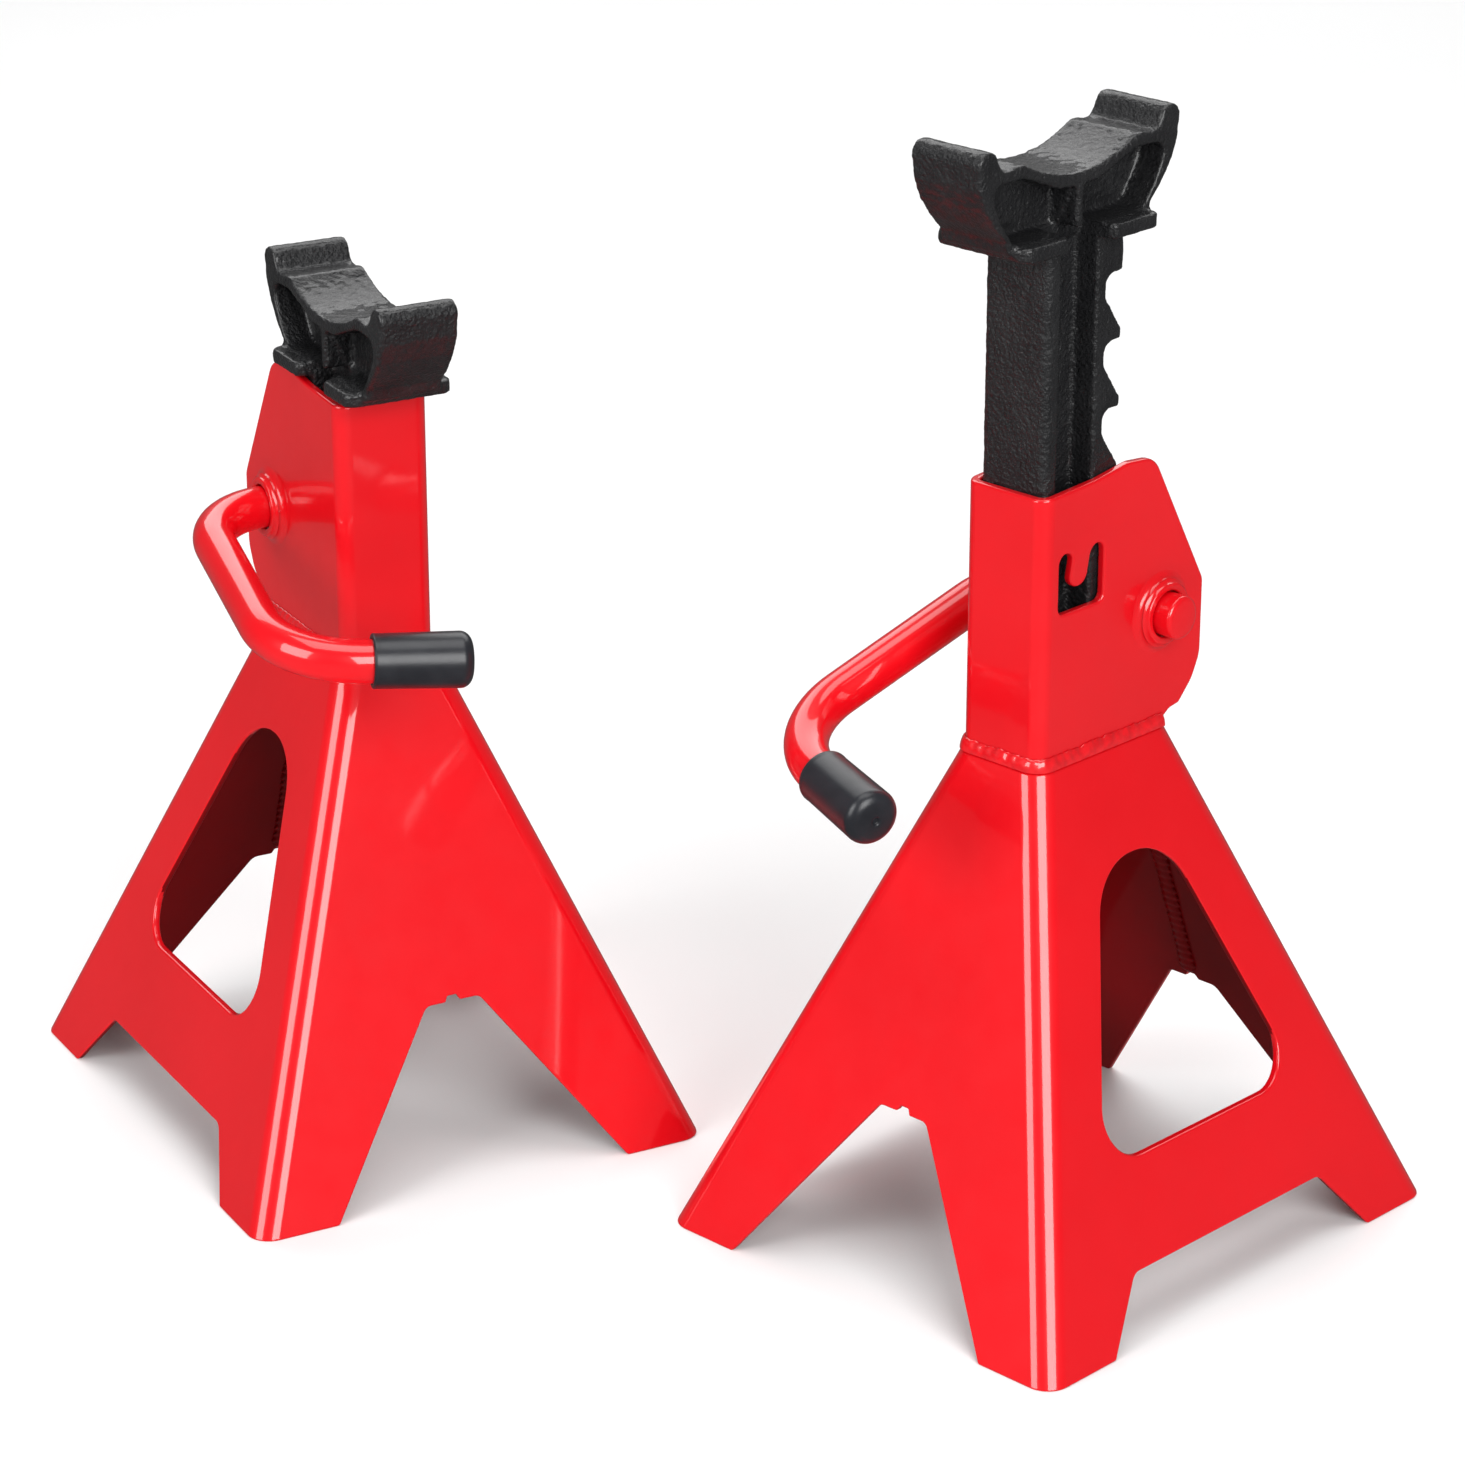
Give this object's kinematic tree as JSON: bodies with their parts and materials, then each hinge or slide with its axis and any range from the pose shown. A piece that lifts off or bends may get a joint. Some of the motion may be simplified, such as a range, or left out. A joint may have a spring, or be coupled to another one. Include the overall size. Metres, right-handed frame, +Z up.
{
  "type": "axle jack stands",
  "caption": "Pair of ratchet axle jack stands: pyramid sheet base with windows, column with ears, toothed cast bar with curved saddle, and a bent lift handle with a rubber grip.",
  "frame": {"origin": "floor level under the middle of the pair's bounding box", "axes": "+Z up, +X from the lowered stand to the raised one, +Y away from the viewer of the pair; each stand is turned about Z, the lowered one by +28.8 degrees and the raised one by -44.4 degrees"},
  "size_m": [0.4566, 0.3293, 0.3583],
  "materials": {
    "red_enamel": "gloss enamel",
    "weld": "gloss enamel over a rippled weld",
    "black_casting": "black paint over a rough casting",
    "black_rubber": "satin"
  },
  "bodies": {
    "right_frame": {"right_base_half_pin_side": "red_enamel", "right_base_half_grip_side": "red_enamel", "right_seam_weld_front": "weld", "right_seam_weld_rear": "weld", "right_column": "red_enamel", "right_column_foot_weld": "weld"},
    "right_bar": {"right_ratchet_bar": "black_casting"},
    "right_handle": {"right_handle_rod": "red_enamel", "right_handle_grip": "black_rubber", "right_pawl": "red_enamel", "right_pawl_weld_pin_side": "weld", "right_pawl_weld_grip_side": "weld"},
    "left_frame": {"left_base_half_pin_side": "red_enamel", "left_base_half_grip_side": "red_enamel", "left_seam_weld_front": "weld", "left_seam_weld_rear": "weld", "left_column": "red_enamel", "left_column_foot_weld": "weld"},
    "left_bar": {"left_ratchet_bar": "black_casting"},
    "left_handle": {"left_handle_rod": "red_enamel", "left_handle_grip": "black_rubber", "left_pawl": "red_enamel", "left_pawl_weld_pin_side": "weld", "left_pawl_weld_grip_side": "weld"}
  },
  "joints": [
    {"name": "right_bar_slide", "type": "slide", "parent": "right_frame", "child": "right_bar", "axis": [0, 0, 1], "range_m": [-0.063, 0.063]},
    {"name": "right_handle_lift", "type": "hinge", "parent": "right_frame", "child": "right_handle", "pos_m": [0.127, -0.02732, 0.2003], "axis": [-0.7145, 0.6997, 0], "range_deg": [0, 45]},
    {"name": "stand_apart", "type": "slide", "parent": "right_frame", "child": "left_frame", "axis": [-1, 0, 0], "range_m": [0, 0.3]},
    {"name": "left_bar_slide", "type": "slide", "parent": "left_frame", "child": "left_bar", "axis": [0, 0, 1], "range_m": [0, 0.13461]},
    {"name": "left_handle_lift", "type": "hinge", "parent": "left_frame", "child": "left_handle", "pos_m": [-0.12829, 0.06957, 0.2003], "axis": [-0.8763, -0.4818, 0], "range_deg": [0, 33]}
  ]
}
